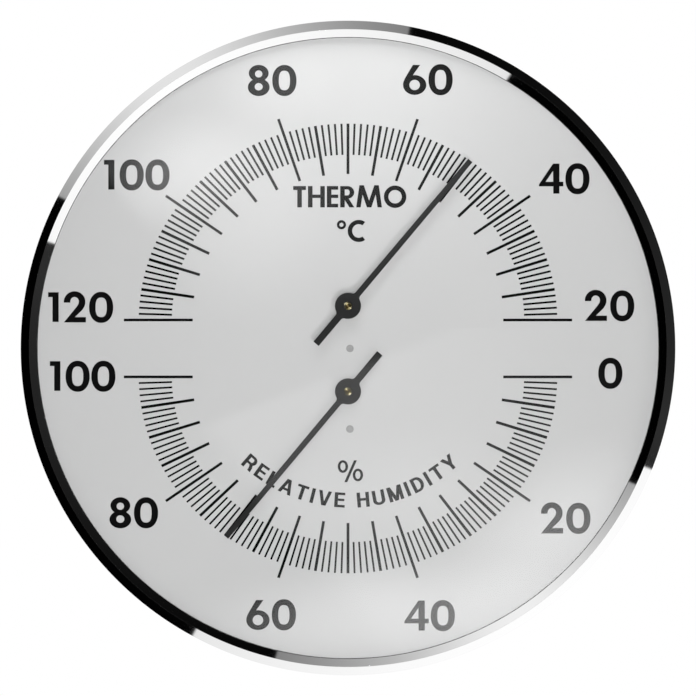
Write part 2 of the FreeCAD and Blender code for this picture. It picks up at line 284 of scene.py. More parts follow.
def arc(x, z, radius, first, last, steps):
    """Points on an arc, between two angles in degrees."""
    angles = [math.radians(first + (last - first) * step / steps) for step in range(steps + 1)]
    return [(x + radius * math.cos(angle), z + radius * math.sin(angle)) for angle in angles]


def with_modifiers(mesh, modifiers):
    """A mesh as it comes out of modifiers, given as (kind, settings)."""
    carrier = bpy.data.objects.new("carrier", mesh)
    bpy.context.scene.collection.objects.link(carrier)
    for kind, settings in modifiers:
        modifier = carrier.modifiers.new(kind, kind)
        for name, value in settings.items():
            setattr(modifier, name, value)
    graph = bpy.context.evaluated_depsgraph_get()
    made = bpy.data.meshes.new_from_object(carrier.evaluated_get(graph), depsgraph=graph)
    bpy.data.objects.remove(carrier)
    return made


satin_steel, tree, place = start_material("satin_stainless_steel")
# Draw lines about 0.4 mm apart and 20 mm long run from the back to the mouth.
lines = noise(tree, place, 0.4, 3.0, (1.0, 0.02, 1.0))
clouds = noise(tree, place, 14, 2.0)
close_material(tree, {
    "Base Color": tone(tree, clouds, "B4B3B0", "C6C5C2"), "Metallic": 1.0,
    "Roughness": mapped(tree, lines, 0, 1, 0.24, 0.40), "Normal": relief(tree, lines, 0.12, 0.02),
})

cup = turned(rounded([
    (0.0, 0.0, 0.0),
    (case_radius, 0.0, case_corner_radius),
    (case_radius, case_depth - case_wall, flange_rounding),
    (flange_radius, case_depth - case_wall, 0.0),
    (flange_radius, case_depth, 0.0),
    (case_radius - case_wall, case_depth, mouth_rounding),
    (case_radius - case_wall, case_wall, case_corner_radius - case_wall),
    (0.0, case_wall, 0.0),
], steps=8), case_steps)
hook_height = -axis_height / MM
peg_low, peg_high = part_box("hair_peg")
peg = placed(peg_low, peg_high)
slot_half = keyhole_slot_width / 2
slot_foot = math.degrees(math.acos(slot_half / keyhole_radius))
keyhole = arc(0, hook_height, keyhole_radius, 180 - slot_foot, 360 + slot_foot, 40)
keyhole += arc(0, hook_height + keyhole_slot_rise, slot_half, 0, 180, 20)
thermo_low, thermo_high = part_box("thermo_arbor")
thermo_hole = arc(0, placed(thermo_low, thermo_high).z, access_hole_radius, 0, 360, 48)[:-1]
peg_hole = arc(peg.x, peg.z, access_hole_radius, 0, 360, 48)[:-1]
joined = bmesh.new()
for outline in (keyhole, thermo_hole, peg_hole):
    joined.from_mesh(prism(outline, -cutter_reach, case_wall + cutter_reach))
vent_end = vent_height / 2
for index in range(vent_count):
    outline = arc(vent_width / 2 - vent_end, 0, vent_end, -90, 90, 8)
    outline += arc(vent_end - vent_width / 2, 0, vent_end, 90, 270, 8)
    vent = prism(outline, -vent_cutter_reach, vent_cutter_reach)
    turn = Matrix.Rotation(-2 * math.pi * (index + 0.5) / vent_count, 4, "Y")
    stand = Matrix.Translation(at(0, vent_depth, 0)) @ turn
    stand = stand @ Matrix.Translation(Vector(((case_radius - case_wall / 2) * MM, 0, 0)))
    stand = stand @ Matrix.Rotation(math.pi / 2, 4, "Z") @ Matrix.Translation(-at(0, 0, 0))
    vent.transform(stand)
    joined.from_mesh(vent)
cutter_mesh = bpy.data.meshes.new("cutters")
joined.to_mesh(cutter_mesh)
joined.free()
cutter_object = bpy.data.objects.new("cutters", cutter_mesh)
bpy.context.scene.collection.objects.link(cutter_object)
cup = with_modifiers(cup, [("BOOLEAN", {
    "object": cutter_object, "operation": "DIFFERENCE", "solver": "EXACT",
})])
bpy.data.objects.remove(cutter_object)
case_shell = make_piece("case_shell", cup, satin_steel, "case")
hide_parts("case_can")

# Movement frames, regulator lever and collar: mild steel sheet, stamped and bent, then zinc plated.
# They are held to the dial by the bushes and rivets. The plating is a cool grey with faint spangle, and
# tumbling has broken the edges.
edge_break = 0.2
spangle_size = 1.5


def broken_edge(tree):
    """The normal of a piece whose sharp edges are broken."""
    return add_node(tree, "Bevel", {"Radius": edge_break * MM}).outputs["Normal"]


zinc_steel, tree, place = start_material("zinc_plated_steel")
spangle = add_node(tree, "TexVoronoi", {"Vector": place, "Scale": 1 / (spangle_size * MM)})
grain = noise(tree, place, 0.2, 2.0)
close_material(tree, {
    "Base Color": tone(tree, spangle.outputs["Color"], "A3A6A9", "BFC2C5"), "Metallic": 1.0,
    "Roughness": mapped(tree, grain, 0, 1, 0.32, 0.48), "Normal": broken_edge(tree),
})
finish_nodes(["thermo_frame", "hygro_frame", "regulator_lever", "regulator_collar"], zinc_steel)

# Bushes, collets, studs, peg and clamp: brass, turned from rod and pressed or crimped in place.
# The lathe leaves fine rings, and the metal has darkened a little.
turned_brass, tree, place = start_material("turned_brass")
# Tool marks 0.05 mm apart are too fine to show, so they are drawn 0.15 mm apart along the axis.
marks = noise(tree, place, 0.15, 1.0, (0.05, 1.0, 0.05))
tarnish = noise(tree, place, 0.8, 3.0)
close_material(tree, {
    "Base Color": tone(tree, tarnish, "D4C68E", "FFF7D2", (0.35, 0.65)), "Metallic": 1.0,
    "Roughness": mapped(tree, marks, 0, 1, 0.16, 0.28),
    "Normal": relief(tree, marks, 0.2, 0.01, broken_edge(tree)),
})
finish_nodes([
    "thermo_bush", "hygro_bush", "bimetal_collet", "hairspring_collet", "regulator_stud", "hairspring_stud",
    "thread_clamp", "hair_peg",
], turned_brass)

# Arbors: steel wire, ground and polished, pressed into the hubs and running in the bushes. Their rounded
# front ends show a little below the ends of the brass tubes. The steel's yellow base colour is a painted
# reflection of that brass.
arbor_rounding = 0.2
arbor_back_rounding = 0.05
arbor_thin_radius = 0.3
hygro_shoulder = 14.2
ground_steel, tree, place = start_material("ground_steel")
grinding = noise(tree, place, 0.1, 2.0)
close_material(tree, {
    # The yellow base colour is a painted reflection of the brass tube round each arbor's end, not the steel's
    # own colour.
    "Base Color": tone(tree, grinding, "B49C66", "D8C894"), "Metallic": 1.0,
    "Roughness": mapped(tree, grinding, 0, 1, 0.18, 0.30),
})
for name in ("thermo", "hygro"):
    low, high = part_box(name + "_arbor")
    arbor = placed(low, high)
    if name == "thermo":
        pivot_radius, shoulder = arbor.radius, (arbor.back + arbor.front) / 2
    else:
        pivot_radius, shoulder = arbor_thin_radius, hygro_shoulder
    profile = rounded([
        (0.0, arbor.back, 0.0),
        (pivot_radius, arbor.back, arbor_back_rounding),
        (pivot_radius, shoulder, 0.0),
        (arbor.radius, shoulder, 0.0),
        (arbor.radius, arbor.front, arbor_rounding),
        (0.0, arbor.front, 0.0),
    ])
    pin = turned(profile, 40, 0.0, arbor.z)
    pin = make_piece(name + "_arbor_pin", pin, ground_steel, name + "_hand", 50)
    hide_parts(name + "_arbor")

# Bimetal spiral: two alloys rolled together into one strip and wound, pinned to its collet and stud.
# The rolled face is grey with a warm tint, and faint rolling lines run along the strip.
bimetal, tree, place = start_material("rolled_bimetal")
rolling = noise(tree, place, 0.25, 2.0, (0.1, 1.0, 0.1))
close_material(tree, {
    "Base Color": tone(tree, rolling, "8F877B", "B3AA9B"), "Metallic": 1.0, "Roughness": 0.36,
})
finish_nodes(["bimetal_spiral"], bimetal)

# Hairspring: a thin ribbon of phosphor bronze, rolled bright and wound, pinned to its collet and stud.
# It is redder than the brass round it.
spring_bronze, tree, place = start_material("phosphor_bronze")
heat = noise(tree, place, 1.2, 1.0)
close_material(tree, {
    "Base Color": tone(tree, heat, "A86B3C", "C88C58"), "Metallic": 1.0, "Roughness": 0.28,
})
finish_nodes(["hairspring"], spring_bronze)

# Hair bundle and pull thread: pale synthetic hair, a few dozen fibres side by side, which run through the
# slotted peg, bend a little beside it when it turns and are crimped into the brass clamp. A two-ply thread
# goes from there to the arbor. Both stretch as the clamp travels.
hair_low, hair_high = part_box("hair_bundle")
thread_low, thread_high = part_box("pull_thread")
strand_count = 37
strand_radius = 0.075
strand_sides = 6
strand_wander = 0.03
strand_waves = 3
bundle_twist = 0.6
golden_angle = math.pi * (3 - math.sqrt(5))
peg_radius = 1.5
peg_bend_length = 7.0
ply_radius = 0.05
ply_turns = 9
thread_steps = 60


def strands(paths, radius, sides):
    """A mesh of round strands along paths of points in metres that run mostly along X."""
    shape = bmesh.new()
    for path in paths:
        rings = []
        for point in path:
            spokes = [2 * math.pi * side / sides for side in range(sides)]
            rings.append([
                shape.verts.new(point + Vector((0, radius * math.cos(spoke), radius * math.sin(spoke))) * MM)
                for spoke in spokes
            ])
        for ring, following in zip(rings, rings[1:]):
            for side in range(sides):
                after = (side + 1) % sides
                shape.faces.new((ring[side], ring[after], following[after], following[side]))
        shape.faces.new(rings[0])
        shape.faces.new(rings[-1])
    return mesh_of(shape)


fibre, tree, place = start_material("synthetic_hair")
streaks = noise(tree, place, 0.1, 1.0, (0.03, 1.0, 1.0))
close_material(tree, {
    "Base Color": tone(tree, streaks, "CFC4AC", "EFE8D6"), "Roughness": 0.45,
    "Subsurface Weight": 0.15, "Subsurface Scale": 0.2 * MM, "Sheen Weight": 0.2,
})

hair_middle = (hair_low + hair_high) / 2
bundle_radius = (hair_high.z - hair_low.z) / 2 / MM - strand_radius - strand_wander


def hair_length(first, last, steps):
    """A mesh of every strand of the bundle between two places along its line, in millimetres."""
    paths = []
    for index in range(strand_count):
        spread = bundle_radius * math.sqrt(index / (strand_count - 1))
        around = index * golden_angle
        path = []
        for step in range(steps + 1):
            along = (first + (last - first) * step / steps) * MM
            share = (along - hair_low.x) / (hair_high.x - hair_low.x)
            sway = strand_wander * math.sin(2 * math.pi * (strand_waves * share + index / strand_count))
            twist = around + bundle_twist * share
            offset = Vector((0, spread * math.cos(twist) + sway, spread * math.sin(twist)))
            path.append(Vector((along, hair_middle.y, hair_middle.z)) + offset * MM)
        paths.append(path)
    return strands(paths, strand_radius, strand_sides)


peg_side = peg.x + peg_radius
bend_end = peg_side + peg_bend_length
tail_end = hair_low.x / MM
clamp_side = hair_high.x / MM
held = make_piece("hair_in_peg", hair_length(tail_end, peg_side, 6), fibre, "hair_peg")
bent = make_piece("hair_beside_peg", hair_length(peg_side, bend_end, 14), fibre, None)
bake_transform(bent)
pulled = make_piece("hair_strands", hair_length(bend_end, clamp_side, 50), fibre, None)
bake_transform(pulled)
for length in (held, bent, pulled):
    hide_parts("hair_bundle")

thread_middle = (thread_low + thread_high) / 2
paths = []
for ply in range(2):
    path = []
    for step in range(thread_steps + 1):
        share = step / thread_steps
        around = 2 * math.pi * (ply_turns * share + ply / 2)
        offset = Vector((0, ply_radius * math.cos(around), ply_radius * math.sin(around)))
        along = thread_low.x + (thread_high.x - thread_low.x) * share
        path.append(Vector((along, thread_middle.y, thread_middle.z)) + offset * MM)
    paths.append(path)
thread = make_piece("thread_plies", strands(paths, ply_radius, strand_sides), fibre, None)
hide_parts("pull_thread")
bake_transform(thread)

# Dial plate: aluminium sheet, blanked round, bead blasted fine and clear anodised, then printed.
# It lies on the case's flange. The finish is an even light grey with a soft sheen.
anodised, tree, place = start_material("satin_anodised_aluminium")
# The blasted pits are about 0.05 mm across, too fine to show, so they are drawn at 0.2 mm.
pits = noise(tree, place, 0.2, 2.0)
drift = noise(tree, place, 45, 1.0)
close_material(tree, {
    "Base Color": tone(tree, drift, "CBCBCB", "CFCFCF"), "Metallic": 0.3,
    "Roughness": mapped(tree, pits, 0, 1, 0.42, 0.48), "Normal": relief(tree, pits, 0.08, 0.01),
})
finish_nodes(["dial_plate"], anodised)

# Printing: matt black ink, screened on the dial in one pass. It gives two scales with their numerals,
# the words for what they read, and the units. The layer is drawn thicker than the real 0.01 mm.
ink_height = 0.02
dial_low, dial_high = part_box("dial_plate")
dial_face = -dial_low.y / MM
ink, tree, place = start_material("matt_screen_ink")
mesh_marks = noise(tree, place, 0.3, 1.0)
close_material(tree, {
    "Base Color": tone(tree, mesh_marks, "0A0A0A", "0F0F0F"), "Roughness": 0.85, "Specular IOR Level": 0.05,
})


def sheet(outlines, holes, back, front):
    """A mesh of flat sheet between two depths: outlines (x, z) in millimetres, joined, less the holes."""
    corners = []
    faces = []
    for outline in outlines + holes:
        turn = sum(a[0] * b[1] - b[0] * a[1] for a, b in zip(outline, outline[1:] + outline[:1]))
        points = outline if turn > 0 else outline[::-1]
        faces.append(list(range(len(corners), len(corners) + len(points))))
        corners.extend(Vector(point) for point in points)
    flat = delaunay_2d_cdt(corners, [], faces, 0, 1e-6)
    shape = bmesh.new()
    verts = [shape.verts.new(at(point[0], back, point[1])) for point in flat[0]]
    for face, covering in zip(flat[2], flat[5]):
        if covering and max(covering) < len(outlines):
            shape.faces.new([verts[corner] for corner in face])
    loose = [vert for vert in shape.verts if not vert.link_faces]
    bmesh.ops.delete(shape, geom=loose, context="VERTS")
    bmesh.ops.dissolve_limit(shape, angle_limit=math.radians(1), verts=shape.verts, edges=shape.edges)
    return grown(shape, front - back)


def printed(name, outlines):
    """A thin layer of ink on the dial, from flat outlines (x, z) in millimetres about the case axis."""
    mesh = sheet(outlines, [], dial_face, dial_face + ink_height)
    return make_piece(name, mesh, ink, "case")


def straight(x0, z0, x1, z1, width):
    """A straight stroke with square ends."""
    along = Vector((x1 - x0, z1 - z0)).normalized()
    side = Vector((-along.y, along.x)) * width / 2
    first, last = Vector((x0, z0)), Vector((x1, z1))
    return [[tuple(first + side), tuple(first - side), tuple(last - side), tuple(last + side)]]


def bow(x, z, across, up, first, last, side_width, end_width, steps=28, fullness=(2.0, 2.0), rise=0.0):
    """A curved stroke along part of an oval, with its own width at the sides and at the top. The
    fullness of the outer and of the inner edge is 2 for an ellipse, and more for straighter sides.
    The inner edge may sit a rise above the outer one."""
    shapes = []
    rims = []
    for step in range(steps + 1):
        angle = math.radians(first + (last - first) * step / steps)
        turns = (math.cos(angle), math.sin(angle))
        side, top = (math.copysign(abs(turn) ** (2 / fullness[0]), turn) for turn in turns)
        outer = (x + (across + side_width / 2) * side, z + (up + end_width / 2) * top)
        side, top = (math.copysign(abs(turn) ** (2 / fullness[1]), turn) for turn in turns)
        inner = (x + (across - side_width / 2) * side, z + rise + (up - end_width / 2) * top)
        rims.append((outer, inner))
    for (outer, inner), (next_outer, next_inner) in zip(rims, rims[1:]):
        shapes.append([outer, inner, next_inner, next_outer])
    return shapes


def slant(x0, z0, x1, z1, width):
    """A sloping stroke, cut level at both ends."""
    half = width / 2
    return [[(x0 - half, z0), (x0 + half, z0), (x1 + half, z1), (x1 - half, z1)]]


def stem(x, width, foot=0, head=1):
    """An upright stroke."""
    return straight(x, foot, x, head, width)


def bar(first, last, z, width):
    """A level stroke."""
    return straight(first, z, last, z, width)


def row(text, glyphs, height, gap, middle_x, foot_z):
    """The outlines of a row of glyphs. Each is a width and strokes, in shares of the height."""
    widths = [glyphs[letter][0] for letter in text]
    along = -(sum(widths) + gap * (len(text) - 1)) / 2
    shapes = []
    for letter, width in zip(text, widths):
        for outline in glyphs[letter][1]:
            shapes.append([(middle_x + (along + x) * height, foot_z + z * height) for x, z in outline])
        along += width + gap
    return shapes


# The scales. Each is an ellipse of graduations, 1.8 degrees to a unit, whose rays meet at its centre.
# The values are (across, up) in millimetres.
scale_centres = {"temperature": 5.65, "humidity": -5.83}
unit_degrees = 1.8
minor_inner = (35.5, 33.3)
medium_inner = (31.4, 29.45)
medium_outer = (42.2, 39.6)
major_outer = (45.4, 42.6)
end_inner = 31.3
end_outer = 45.2
minor_widths = {"temperature": 0.41, "humidity": 0.375}
medium_width = 0.57
major_width = 0.55
for scale, centre_z in scale_centres.items():
    up_or_down = 1 if scale == "temperature" else -1
    marks = []
    for value in range(101):
        angle = math.radians(unit_degrees * value)
        if value % 100 == 0:
            side = 1 if value == 0 else -1
            marks += straight(side * end_inner, centre_z, side * end_outer, centre_z, major_width)
            continue
        if value % 20 == 0:
            inner, outer, width = medium_inner, major_outer, major_width
        elif value % 5 == 0:
            inner, outer, width = medium_inner, medium_outer, medium_width
        else:
            inner, outer, width = minor_inner, medium_outer, minor_widths[scale]
        ends = [
            (across * math.cos(angle), centre_z + up_or_down * up * math.sin(angle))
            for across, up in (inner, outer)
        ]
        marks += straight(*ends[0], *ends[1], width)
    printed(scale + "_graduations", marks)

# The numerals, in a bold geometric face. Each glyph is its width and its strokes, in shares of the
# height, and each numeral has its middle (x, z) in millimetres about the case axis.
digit_height = 6.26
digit_gap = 0.05
digits = {
    "0": (0.78, bow(0.39, 0.5, 0.285, 0.408, 0, 360, 0.21, 0.188, 48, (2.15, 2.6))),
    "1": (0.455, [[(0, 0.985), (0, 0.83), (0.14, 0.83), (0.14, 0.03), (0.34, 0.03), (0.34, 0.985)]]),
    "2": (0.763, bow(0.347, 0.682, 0.243, 0.243, 180, 0, 0.21, 0.185) + [
        [(0, 0.652), (0.209, 0.652), (0.209, 0.69), (0, 0.69)],
        [(0, 0.015), (0.713, 0.015), (0.713, 0.185), (0.356, 0.185), (0.60, 0.42), (0.66, 0.52),
         (0.69, 0.60), (0.695, 0.685), (0.485, 0.685), (0.474, 0.61), (0.42, 0.525)],
    ]),
    "4": (0.80, [
        [(0, 0.254), (0.785, 0.254), (0.785, 0.402), (0.057, 0.402), (0, 0.317)],
        [(0.46, 0.02), (0.66, 0.02), (0.66, 0.988), (0.4526, 0.988), (0.4526, 0.74)],
        [(0.055, 0.399), (0.212, 0.399), (0.46, 0.764), (0.4526, 0.988)],
    ]),
    "6": (0.77, bow(0.375, 0.33, 0.2725, 0.2425, 0, 360, 0.205, 0.154, 40) + [
        [(0.317, 0.976), (0.5525, 0.976), (0.281, 0.597), (0.20, 0.45), (0, 0.345), (0.012, 0.43),
         (0.054, 0.53), (0.11, 0.63)],
    ]),
    "8": (0.74, bow(0.353, 0.735, 0.220, 0.1905, 0, 360, 0.2, 0.153, 40, rise=-0.024)
          + bow(0.353, 0.283, 0.240, 0.202, 0, 360, 0.222, 0.166, 40, rise=0.015)),
}
numeral_places = {
    "temperature": {
        "120": (-53.9, 8.2), "100": (-42.6, 34.9), "80": (-15.3, 53.94), "60": (16.1, 54.1),
        "40": (43.61, 34.13), "20": (52.75, 8.5),
    },
    "humidity": {
        "100": (-53.5, -5.7), "80": (-43.2, -33.23), "60": (-15.5, -53.8), "40": (16.46, -53.97),
        "20": (43.9, -34.35), "0": (52.9, -5.1),
    },
}
for scale, numerals in numeral_places.items():
    shapes = []
    for numeral, (x, z) in numerals.items():
        shapes += row(numeral, digits, digit_height, digit_gap, x, z - digit_height / 2)
    printed(scale + "_numerals", shapes)

# The word over the temperature scale's centre and the unit under it, in a medium geometric face.
# Heights are in millimetres, and glyphs are drawn in shares of the capitals' height.
word_height = 4.3
pen = 0.213
word_gap = 0.095
word_x, word_z = 0.35, 28.35
left = stem(pen / 2, pen)
capitals = {
    "T": (0.60, bar(0, 0.60, 1 - pen / 2.3, pen * 0.87) + stem(0.30, pen)),
    "H": (0.79, left + stem(0.79 - pen / 2, pen) + bar(0, 0.79, 0.52, 0.16)),
    "E": (0.53, left + bar(0, 0.53, 0.915, 0.17) + bar(0, 0.53, 0.52, 0.16) + bar(0, 0.53, 0.085, 0.17)),
    "R": (0.66, left + bar(0, 0.36, 0.92, 0.16) + bar(0, 0.36, 0.49, 0.15)
          + bow(0.35, 0.705, 0.2, 0.215, -90, 90, pen, 0.155) + slant(0.55, 0, 0.26, 0.45, 0.23)),
    "M": (1.20, slant(0.10, 0, 0.25, 1.04, 0.21) + slant(0.25, 1.04, 0.60, 0.0, 0.21)
          + slant(0.60, 0.0, 0.95, 1.04, 0.21) + slant(1.10, 0, 0.95, 1.04, 0.21)),
    "O": (1.05, bow(0.525, 0.5, 0.42, 0.42, 0, 360, pen, pen, 48)),
}
shapes = row("THERMO", capitals, word_height, word_gap, word_x, word_z)
shapes += bow(-1.32, 24.85, 0.67, 0.67, 0, 360, 0.52, 0.52)
shapes += bow(2.17, 23.6, 1.78, 1.80, 55, 305, 0.92, 0.86)
printed("temperature_words", shapes)

# The unit of the humidity scale in a light face, and its words on an arc in a bold one. Each letter
# stands square on the arc, with its foot outwards.
percent_x, percent_z = 0.5, -24.85
shapes = bow(percent_x - 1.53, percent_z + 0.95, 0.78, 1.04, 0, 360, 0.53, 0.48)
shapes += bow(percent_x + 1.5, percent_z - 0.75, 0.78, 1.04, 0, 360, 0.53, 0.48)
shapes += slant(percent_x - 0.95, percent_z - 2.2, percent_x + 1.0, percent_z + 2.2, 0.58)
legend = "RELATIVE HUMIDITY"
legend_height = 3.0
legend_stretch = 1.08
legend_radius = 32.0
legend_centre = (0.4, -0.2)
legend_gap = 0.29
bold = 0.215
left = stem(bold / 2, bold)
bold_letters = {
    " ": (0.28, []),
    "R": (0.74, left + bar(0, 0.42, 0.915, 0.17) + bar(0, 0.42, 0.46, 0.17)
          + bow(0.42, 0.6875, 0.2, 0.2275, -90, 90, bold, 0.17)
          + straight(0.52, 0.42, 0.60, 0.24, bold) + slant(0.64, 0, 0.59, 0.3, bold)),
    "E": (0.66, left + bar(0, 0.65, 0.915, 0.17) + bar(0, 0.61, 0.51, 0.16) + bar(0, 0.66, 0.085, 0.17)),
    "L": (0.60, left + bar(0, 0.60, 0.085, 0.17)),
    "A": (0.86, slant(0.11, 0, 0.40, 1, 0.21) + slant(0.75, 0, 0.46, 1, 0.21) + bar(0.22, 0.64, 0.30, 0.16)),
    "T": (0.72, bar(0, 0.72, 0.915, 0.17) + stem(0.36, bold)),
    "I": (bold, left),
    "V": (0.82, slant(0.38, 0, 0.11, 1, 0.21) + slant(0.44, 0, 0.71, 1, 0.21)),
    "H": (0.76, left + stem(0.76 - bold / 2, bold) + bar(0, 0.76, 0.52, 0.17)),
    "U": (0.76, stem(bold / 2, bold, 0.33) + stem(0.76 - bold / 2, bold, 0.33)
          + bow(0.38, 0.33, 0.28, 0.245, 180, 360, bold, 0.17)),
    "M": (0.92, left + stem(0.92 - bold / 2, bold)
          + slant(0.46, 0, 0.13, 1, 0.22) + slant(0.46, 0, 0.79, 1, 0.22)),
    "D": (0.74, left + bar(0, 0.36, 0.915, 0.17) + bar(0, 0.36, 0.085, 0.17)
          + bow(0.34, 0.5, 0.30, 0.415, -90, 90, bold, 0.17)),
    "Y": (0.80, slant(0.40, 0.38, 0.115, 1, 0.23) + slant(0.40, 0.38, 0.685, 1, 0.23)
          + stem(0.40, bold, 0, 0.5)),
}
widths = [bold_letters[letter][0] * legend_stretch for letter in legend]
along = -(sum(widths) + legend_gap * (len(legend) - 1)) / 2
for letter, width in zip(legend, widths):
    angle = 1.5 * math.pi + (along + width / 2) * legend_height / legend_radius
    right = Vector((-math.sin(angle), math.cos(angle)))
    upward = Vector((-math.cos(angle), -math.sin(angle)))
    foot = Vector(legend_centre) - upward * legend_radius
    for outline in bold_letters[letter][1]:
        shapes.append([
            tuple(foot + (right * (x * legend_stretch - width / 2) + upward * z) * legend_height)
            for x, z in outline
        ])
    along += width + legend_gap
printed("humidity_words", shapes)

# Rivets: soft aluminium pins, headed over behind the frames. Their domed front ends show below each
# hub as small grey pips.
rivet_rounding = 0.14
rivet_back_rounding = 0.05
plain_aluminium, tree, place = start_material("plain_aluminium")
dents = noise(tree, place, 0.5, 2.0)
close_material(tree, {
    "Base Color": tone(tree, dents, "969696", "B0B0B0"), "Metallic": 0.3, "Roughness": 0.5,
    "Normal": relief(tree, dents, 0.3, 0.05),
})
for rivet_node in ("thermo_rivet", "hygro_rivet"):
    low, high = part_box(rivet_node)
    rivet = placed(low, high)
    profile = rounded([
        (0.0, rivet.back, 0.0),
        (rivet.radius, rivet.back, rivet_back_rounding),
        (rivet.radius, rivet.front, rivet_rounding),
        (0.0, rivet.front, 0.0),
    ])
    pip = turned(profile, 48, rivet.x, rivet.z)
    pip = make_piece(rivet_node + "_pin", pip, plain_aluminium, "case", 60)
    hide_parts(rivet_node)

# Pointers: stamped from thin aluminium sheet, with a disc for the hub, and painted matt black.
# The stamping rounds the edges, and the paint has a fine egg-shell texture.
pointer_length = 38.3
pointer_root = 1.2
pointer_tip = 1.07
tail_length = 10.0
tail_width = 1.4
pointer_disc = 2.63
pointer_fillet = 0.8
pointer_edge = 0.06
hub_bore = 0.82
pointer_angles = {"thermo": 49.9, "hygro": 230.1}
pointer_paint, tree, place = start_material("matt_black_paint")
# Egg-shell texture of about 0.1 mm is drawn at 0.15 mm, so that it breaks up the sheen.
shell = noise(tree, place, 0.15, 2.0)
close_material(tree, {
    "Base Color": tone(tree, shell, "1C1C1C", "242424"), "Roughness": 0.5,
    "Normal": relief(tree, shell, 0.15, 0.01),
})


def pointer_outline():
    """The stamped outline, pointing to the right from its axis."""
    half_outline = [(pointer_length, pointer_tip / 2)]
    reach = pointer_disc + pointer_fillet
    for half, mirrored in ((pointer_root / 2, 1), (tail_width / 2, -1)):
        centre_z = half + pointer_fillet
        centre_x = math.sqrt(reach ** 2 - centre_z ** 2)
        meeting = math.degrees(math.atan2(centre_z, centre_x))
        curve = arc(centre_x, centre_z, pointer_fillet, 270, 180 + meeting, 8)
        rim = arc(0, 0, pointer_disc, meeting, 90, 24)
        side = [(x * mirrored, z) for x, z in curve + rim]
        half_outline += side if mirrored == 1 else side[::-1][1:]
    half_outline.append((-tail_length, tail_width / 2))
    return half_outline + [(x, -z) for x, z in reversed(half_outline)]


for name, angle in pointer_angles.items():
    low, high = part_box(name + "_pointer")
    bush_low, bush_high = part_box(name + "_bush")
    pointer = placed(low, high)
    bore_outline = arc(0, 0, hub_bore, 0, 360, 40)[:-1]
    mesh = sheet([pointer_outline()], [bore_outline], pointer.back, pointer.front)
    mesh.transform(Matrix.Translation(-at(0, 0, 0)))
    mesh.transform(Matrix.Rotation(math.radians(-angle), 4, "Y"))
    mesh.transform(Matrix.Translation(at(0, 0, placed(bush_low, bush_high).z)))
    mesh = with_modifiers(mesh, [("BEVEL", {
        "width": pointer_edge * MM, "segments": 3, "limit_method": "ANGLE", "angle_limit": math.radians(60),
    })])
    stamped = make_piece(name + "_stamping", mesh, pointer_paint, name + "_hand", 50)
    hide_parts(name + "_pointer")

# Hubs: brass tubes with a collar behind the pointer, riveted over in front of it. The bright rolled
# rim stands round the end of the arbor.
hub_rim = 0.17
collar_rounding = 0.1
for name in pointer_angles:
    low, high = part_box(name + "_pointer_hub")
    pointer_low, pointer_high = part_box(name + "_pointer")
    arbor_low, arbor_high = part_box(name + "_arbor")
    hub = placed(low, high)
    seat = placed(pointer_low, pointer_high).back
    bore = placed(arbor_low, arbor_high).radius
    profile = rounded([
        (bore, hub.back, 0.0),
        (hub.radius, hub.back, collar_rounding),
        (hub.radius, seat, collar_rounding),
        (hub_bore, seat, 0.0),
        (hub_bore, hub.front, hub_rim),
        (bore, hub.front, hub_rim),
    ])
    tube = turned(profile, 48, 0.0, hub.z)
    tube = make_piece(name + "_hub_tube", tube, turned_brass, name + "_hand", 50)
    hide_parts(name + "_pointer_hub")

# Spacer ring: black plastic, moulded, dropped on the dial to hold the glass off the pointers.
# The mould gives it a fine spark-eroded texture.
moulded_plastic, tree, place = start_material("moulded_black_abs")
erosion = noise(tree, place, 0.12, 2.0)
close_material(tree, {
    "Base Color": tone(tree, erosion, "161616", "202020"), "Roughness": 0.6,
    "Normal": relief(tree, erosion, 0.25, 0.02),
})
finish_nodes(["spacer_ring"], moulded_plastic)

# Glass: a disc of float glass, 2 mm thick, held between the spacer and the gasket. It is clear, with
# the faint green of soda-lime glass. Lamps reach the dial through it.


def calculated(tree, operation, *values, kind="Math", output=0):
    """What one step of arithmetic makes of values and of other nodes' outputs."""
    return add_node(tree, kind, dict(enumerate(values)), operation=operation).outputs[output]


float_glass, tree, place = start_material("float_glass")
# Float glass is flat to a few thousandths of a millimetre, in waves about 30 mm long.
waves = noise(tree, place, 30, 0.0)
shader = add_node(tree, "BsdfPrincipled", {
    "Base Color": linear("FDFEFE"), "Roughness": 0.0, "IOR": 1.52, "Transmission Weight": 1.0,
    "Normal": relief(tree, waves, 0.02, 0.01),
})
clear = add_node(tree, "BsdfTransparent", {})
ray = add_node(tree, "LightPath", {}).outputs
passing = calculated(tree, "MAXIMUM", ray["Is Shadow Ray"], ray["Is Diffuse Ray"])
passing = calculated(tree, "MAXIMUM", passing, ray["Is Glossy Ray"])
mixed = add_node(tree, "MixShader", {0: passing, 1: shader.outputs["BSDF"], 2: clear.outputs["BSDF"]})
add_node(tree, "OutputMaterial", {"Surface": mixed.outputs["Shader"]})
finish_nodes(["glass_pane"], float_glass)

# Gasket: a flat ring of grey rubber, punched from sheet, between the glass and the bezel's lip.
# Rubber is dull and takes a little dust.
sheet_rubber, tree, place = start_material("sheet_rubber")
dust = noise(tree, place, 0.4, 3.0)
close_material(tree, {"Base Color": tone(tree, dust, "303030", "424242"), "Roughness": 0.75})
finish_nodes(["glass_gasket"], sheet_rubber)

# Bezel: a stainless steel ring, turned with two bevels that meet in a ridge, polished to a mirror and
# pressed over the flange. The corners keep a small radius from the polishing.
bezel_steps = 480
bezel_width = 3.3
bezel_rise = 1.5
outer_bevel_width = 1.7
lip_height = 0.45
polish_rounding = 0.015
bezel_radius = bezel_high.x / MM
ridge_radius = bezel_radius - outer_bevel_width
bezel_inner = bezel_radius - bezel_width
skirt_back = -bezel_high.y / MM
ridge_depth = -bezel_low.y / MM
rim_depth = ridge_depth - bezel_rise
lip_back = rim_depth - lip_height
polished_steel, tree, place = start_material("mirror_polished_stainless_steel")
